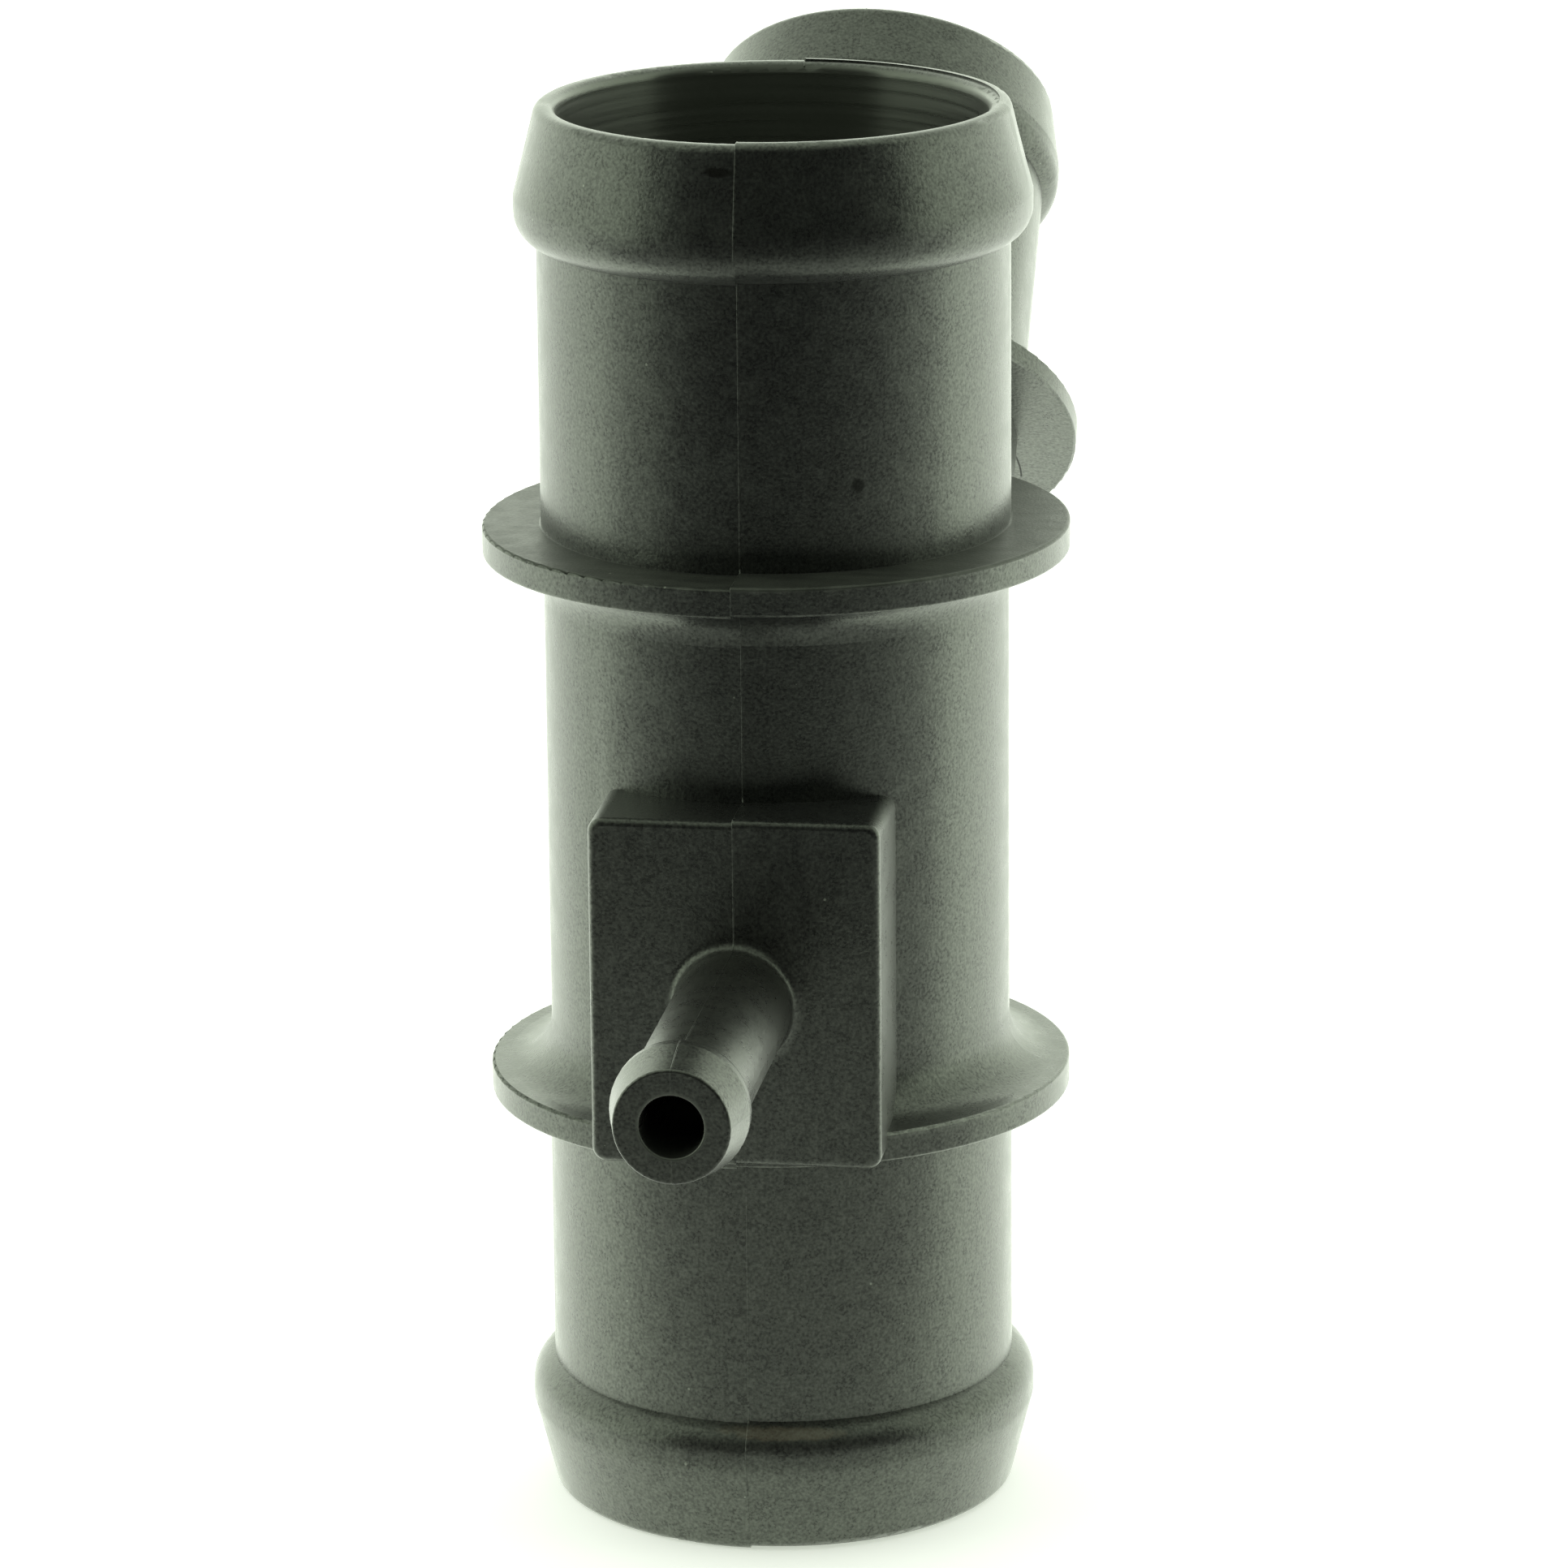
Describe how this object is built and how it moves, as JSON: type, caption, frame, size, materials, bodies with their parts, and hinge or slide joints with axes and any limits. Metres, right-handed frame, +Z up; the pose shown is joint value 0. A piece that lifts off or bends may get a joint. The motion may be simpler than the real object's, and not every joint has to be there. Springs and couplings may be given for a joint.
{
  "type": "coolant hose flange",
  "caption": "Moulded coolant connector: straight beaded tube with two stop collars, an angled branch tube with its own collar, and a small nipple on a flat pad.",
  "frame": {"origin": "centre of the main tube's lower end, on its axis", "axes": "+Z up along the main tube, nipple along -Y, branch towards +Y and up, the mould's parting plane is X = 0"},
  "size_m": [0.04, 0.1099, 0.0976],
  "materials": {
    "nylon": "fine moulded grain, glass-filled nylon"
  },
  "bodies": {
    "root": {"flange_body": "nylon"}
  },
  "joints": []
}
